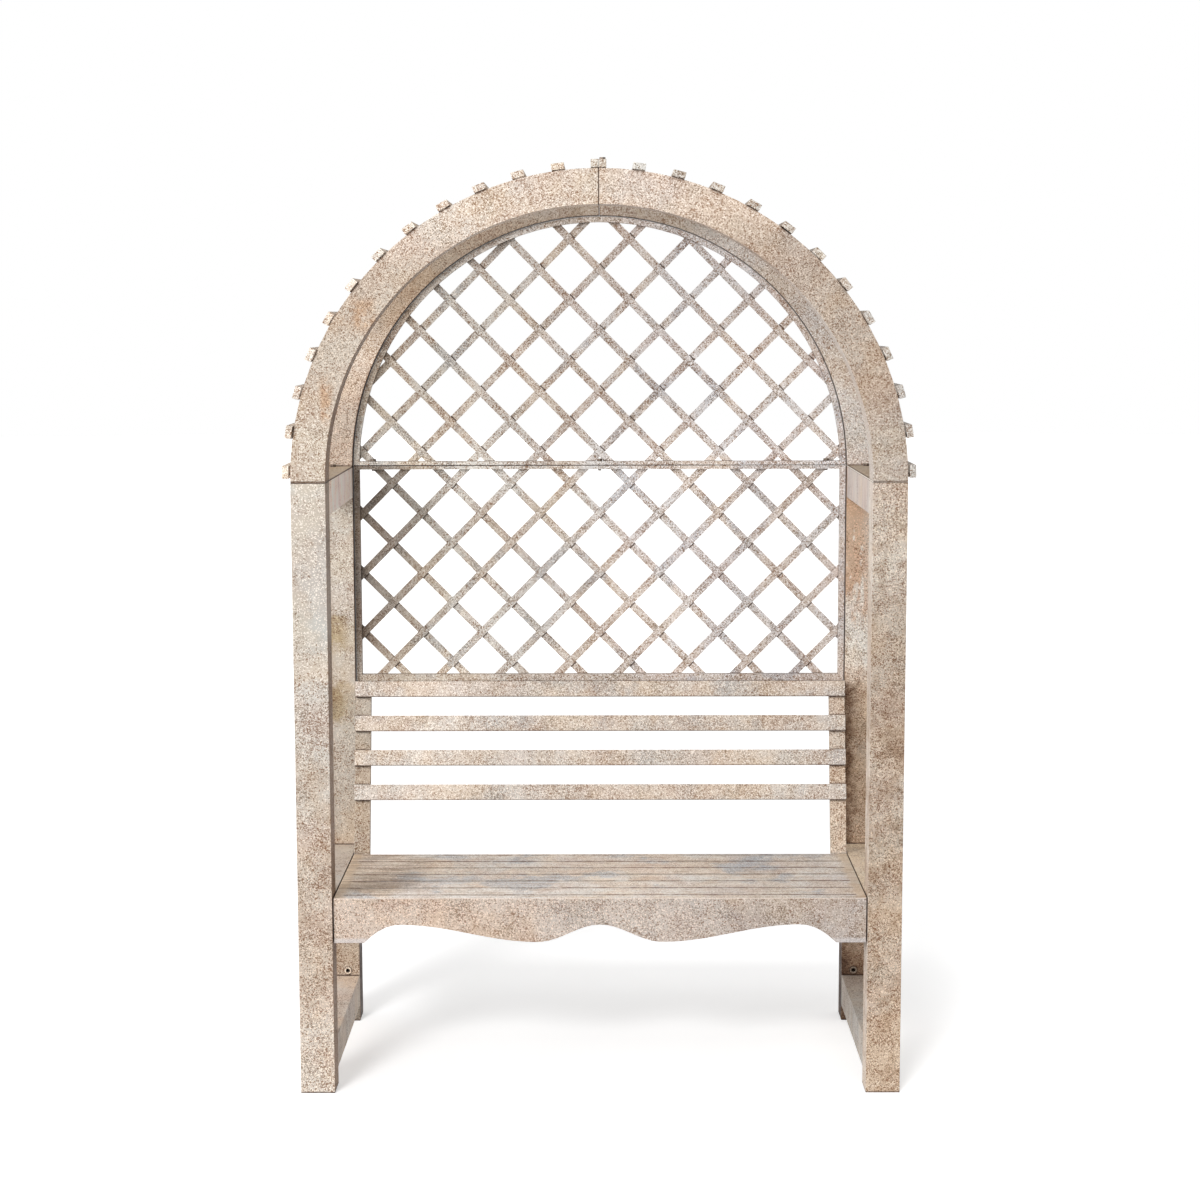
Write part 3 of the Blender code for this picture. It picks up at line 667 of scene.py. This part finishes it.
def floor_paint():
    """Matt white that glows a little."""
    t = Look("floor_white")
    t.tone = t.mix(t.level(t.noise(t.place, 2.0, 3.0, 0.5), 0.3, 0.7), FLOOR_DARK, FLOOR_LIGHT)
    t.surface(
        {
            "Roughness": 0.95,
            "Specular IOR Level": 0.0,
            "Emission Color": WHITE,
            "Emission Strength": FLOOR_GLOW,
        }
    )
    return t.material


def smooth_group():
    """A modifier tree that drops the stored normals and shades everything smooth."""
    group = bpy.data.node_groups.new("shade_smooth", "GeometryNodeTree")
    for way in ("INPUT", "OUTPUT"):
        group.interface.new_socket("Geometry", in_out=way, socket_type="NodeSocketGeometry")
    t = Tree(group)
    mesh = t.add("NodeGroupInput").outputs[0]
    for name in ("custom_normal", "sharp_edge"):
        drop = t.add("GeometryNodeRemoveAttribute", {"Geometry": mesh, "Name": name})
        mesh = drop.outputs["Geometry"]
    smooth = t.add("GeometryNodeSetShadeSmooth", {"Geometry": mesh})
    t.add("NodeGroupOutput", {0: smooth.outputs["Geometry"]})
    return group


SMOOTH = smooth_group()


def refine(obj, bevel, join_flats):
    """Welds a carried-over solid, rounds its folds by bevel and shades it smoothly."""
    weld = obj.modifiers.new("weld", "WELD")
    weld.merge_threshold = WELD_DISTANCE
    if join_flats:
        plain = obj.modifiers.new("flat_faces", "DECIMATE")
        plain.decimate_type = "DISSOLVE"
        plain.angle_limit = FLAT_ANGLE
    clear = obj.modifiers.new("clear_normals", "NODES")
    clear.node_group = SMOOTH
    rounding = obj.modifiers.new("folds", "BEVEL")
    rounding.width = bevel
    rounding.segments = 2
    rounding.limit_method = "ANGLE"
    rounding.angle_limit = FOLD_ANGLE
    rounding.use_clamp_overlap = True
    rounding.miter_outer = "MITER_ARC"
    weight = obj.modifiers.new("flat_shading", "WEIGHTED_NORMAL")
    weight.keep_sharp = False
    weight.weight = FLAT_WEIGHT


MATERIALS = {
    "post_zinc": zinc(
        "post_zinc_look",
        (0.0, 0.0, 0.0),
        (Zinc.frame_marks, Zinc.post_marks),
        pink=0.45,
        blue=0.15,
        calm=Zinc.calm_posts,
    ),
    "rail_zinc": zinc(
        "rail_zinc_look",
        RAIL_SHIFT,
        pink=0.4,
        ochre=0.15,
        spots=-0.12,
        flecks=0.2,
        streaks=0.5,
    ),
    "arch_zinc": zinc(
        "arch_zinc_look",
        (4.1, 3.3, 0.2),
        (Zinc.frame_marks,),
        blue=0.15,
        clusters=0.32,
        depth=0.92,
    ),
    "batten_zinc": zinc("batten_zinc_look", (6.2, 1.1, 3.7)),
    "seat_zinc": zinc(
        "seat_zinc_look",
        (1.2, 7.4, 2.8),
        (Zinc.seat_marks,),
        blue=0.9,
        ochre=0.2,
        flecks=0.5,
        depth=0.65,
        reach=SHORT_REACH,
    ),
    "slat_zinc": zinc("slat_zinc_look", (3.6, 9.3, 7.1), (Zinc.slat_marks,), blue=0.5, depth=0.85),
    "bolt_steel": steel("bolt_steel_look"),
}

# Finishes of single nodes that carry marks of their own; both trellis panels do
LATTICES = {
    "trellis_upper": lattice("trellis_upper_look", UPPER_LATTICE_Z, -1, 0.0, 0.0),
    "trellis_lower": lattice("trellis_lower_look", LOWER_LATTICE_Z, 1, 1.0, 0.22),
}
APRON_LOOK = zinc(
    "apron_look",
    (5.3, 0.4, 2.2),
    (Zinc.apron_marks,),
    ochre=0.3,
    stains=0.35,
    depth=0.9,
)
PLATE_LOOK = zinc("plate_look", RAIL_SHIFT, (Zinc.plate_marks,), reach=PLATE_REACH)
TOP_RAIL_LOOK = zinc(
    "top_rail_look",
    RAIL_SHIFT,
    pink=0.4,
    ochre=0.0,
    spots=-0.22,
    flecks=0.0,
    streaks=1.0,
)
NODE_MATERIALS = {"apron": APRON_LOOK, **LATTICES}
for word in ("left", "right"):
    NODE_MATERIALS[f"arch_base_plate_{word}"] = PLATE_LOOK
    NODE_MATERIALS[f"top_rail_{word}"] = TOP_RAIL_LOOK
    NODE_MATERIALS[f"back_stile_{word}"] = zinc(f"stile_{word}_look", (7.1, 2.6, 1.5))

# How each node's finish differs from its slot's, in colour and as painted light and shade that
# makes whole parts brighter or darker; the longest matching start of the name counts.
TINTS_AND_PAINTED_LIGHT = {
    "post_front_left": (0.96, 0.94, 0.94),
    "post_front_right": (1.08, 1.02, 0.97),
    "post_back_left": (1.00, 1.01, 1.02),
    "post_back_right": (1.22, 1.20, 1.20),
    "arch_front_left": (0.89, 0.88, 0.87),
    "arch_front_right": (0.94, 0.91, 0.90),
    "arch_back_left": (0.98, 0.96, 0.97),
    "arch_back_right": (1.07, 1.04, 1.06),
    "batten_left": (1.18, 1.16, 1.15),
    "batten_right": (1.04, 1.05, 1.07),
    # Mostly painted light, for an inner face that the lamps barely reach
    "top_rail_left": (1.74, 1.68, 1.68),
    "top_rail_right": (1.10, 1.06, 1.06),
    "seat_rail_right": (1.32, 1.26, 1.12),
    "stretcher_left": (1.30, 1.22, 1.16),
    "seat_panel": (1.42, 1.42, 1.46),
    "apron": (1.05, 0.97, 0.95),
    "back_stile_left": (0.78, 0.72, 0.66),
    "back_stile_right": (1.08, 0.99, 0.92),
    "back_slat": (1.08, 1.05, 1.05),
    # Painted light on the left bushing, and painted shade on the right one
    "leg_bushing_left": (1.9, 1.9, 1.9),
    "leg_bushing_right": (0.9, 0.85, 0.8),
}

SLOT_OF = {row["node"]: row["material_slot"] for row in frame["record"]["subparts"]}


def tint_and_light_of(name):
    starts = [start for start in TINTS_AND_PAINTED_LIGHT if name.startswith(start)]
    return TINTS_AND_PAINTED_LIGHT[max(starts, key=len)] if starts else WHITE


def dress():
    """Gives every node its finish and its tint, partly painted light, and refines all but the flat
    lattices.
    """
    for name, obj in frame["nodes"].items():
        look = NODE_MATERIALS.get(name) or MATERIALS[SLOT_OF[name]]
        for slot in obj.material_slots:
            slot.material = look
        obj.color = (*tint_and_light_of(name), 1.0)
        if name not in LATTICES:
            bevel = SMALL_BEVEL if SLOT_OF[name] == "bolt_steel" else BEVEL
            refine(obj, bevel, name != "seat_panel")


def make_camera():
    data = bpy.data.cameras.new("camera")
    data.lens = CAMERA_LENS
    data.sensor_width = CAMERA_SENSOR
    data.clip_end = CAMERA_REACH
    camera = bpy.data.objects.new("camera", data)
    turn = Matrix.Rotation(CAMERA_YAW, 4, "Z")
    tilt = Matrix.Rotation(math.pi / 2 - CAMERA_PITCH, 4, "X")
    roll = Matrix.Rotation(CAMERA_ROLL, 4, "Z")
    camera.matrix_world = Matrix.Translation(CAMERA_PLACE) @ turn @ tilt @ roll
    bpy.context.scene.collection.objects.link(camera)
    bpy.context.scene.camera = camera


def gather(name, objects):
    """A collection that says what a light shines on, or what shades it."""
    group = bpy.data.collections.new(name)
    for obj in objects:
        group.objects.link(obj)
    return group


def add_light(data, place, target, lit, shading):
    """A light aimed at target that shines on lit alone, and that only shading blocks."""
    light = bpy.data.objects.new(data.name, data)
    light.location = place
    towards = Vector(target) - Vector(place)
    light.rotation_euler = towards.to_track_quat("-Z", "Y").to_euler()
    bpy.context.scene.collection.objects.link(light)
    light.light_linking.receiver_collection = lit
    light.light_linking.blocker_collection = shading


def make_lights(floor):
    """Softboxes that light only the bench, and suns that light only the floor.

    The battens throw no shadow from the boxes, and the stretchers none on the floor.
    """
    nodes = frame["nodes"].items()
    bench = gather("lit_by_boxes", [node for _, node in nodes])
    big_parts = gather("shade_from_boxes", [node for name, node in nodes if "batten" not in name])
    for name, place, size, power in (SIDE_BOX, FRONT_BOX):
        box = bpy.data.lights.new(name, "AREA")
        box.shape = "SQUARE"
        box.size = size
        box.energy = power
        add_light(box, place, BOX_TARGET, bench, big_parts)

    only_floor = gather("lit_by_floor_suns", [floor])
    above = gather("shade_on_floor", [node for name, node in nodes if "stretcher" not in name])
    suns = [("floor_high_sun", HIGH_SUN_DIRECTION, HIGH_SUN_ANGLE, HIGH_SUN_STRENGTH)]
    for side in LOW_SUN_SIDES:
        direction = Vector((side, LOW_SUN_FRONT, 1.0))
        suns.append(("floor_low_sun", direction, LOW_SUN_ANGLE, LOW_SUN_STRENGTH))
    for name, direction, angle, strength in suns:
        sun = bpy.data.lights.new(name, "SUN")
        sun.angle = angle
        sun.energy = strength
        add_light(sun, direction * SUN_DISTANCE, (0, 0, 0), only_floor, above)


def make_world():
    """White to the camera, and to all else a sky that brightens from the horizon up."""
    world = bpy.data.worlds.new("studio")
    bpy.context.scene.world = world
    world.use_nodes = True
    world.node_tree.nodes.clear()
    t = Tree(world.node_tree)
    height = t.split(t.add("ShaderNodeTexCoord").outputs["Generated"])["Z"]
    inputs = {"Value": height, "To Min": SKY_HORIZON, "To Max": SKY_ZENITH}
    rising = t.add("ShaderNodeMapRange", inputs).outputs["Result"]
    below = t.math("LESS_THAN", height, 0.0)
    strength = t.add("ShaderNodeMix", {0: below, 2: rising, 3: SKY_BELOW}).outputs[0]
    sky = t.add("ShaderNodeBackground", {"Color": WHITE, "Strength": strength}).outputs[0]
    white = t.add("ShaderNodeBackground", {"Color": WHITE, "Strength": 1.0}).outputs[0]
    seen = t.add("ShaderNodeLightPath").outputs["Is Camera Ray"]
    both = t.add("ShaderNodeMixShader", {0: seen, 1: sky, 2: white}).outputs[0]
    t.add("ShaderNodeOutputWorld", {"Surface": both})


def make_floor():
    bm = bmesh.new()
    bmesh.ops.create_circle(bm, cap_ends=True, segments=FLOOR_SIDES, radius=FLOOR_RADIUS)
    mesh = bpy.data.meshes.new("floor")
    bm.to_mesh(mesh)
    bm.free()
    floor = bpy.data.objects.new("floor", mesh)
    floor.location.z = CAD_BOX[0][2] - FLOOR_DROP
    mesh.materials.append(floor_paint())
    floor.visible_diffuse = False
    bpy.context.scene.collection.objects.link(floor)
    return floor


def main():
    scene = bpy.context.scene
    scene.view_settings.view_transform = "Standard"
    scene.view_settings.look = "None"
    make_camera()
    make_lights(make_floor())
    make_world()
    dress()


main()

bpy.context.view_layer.update()
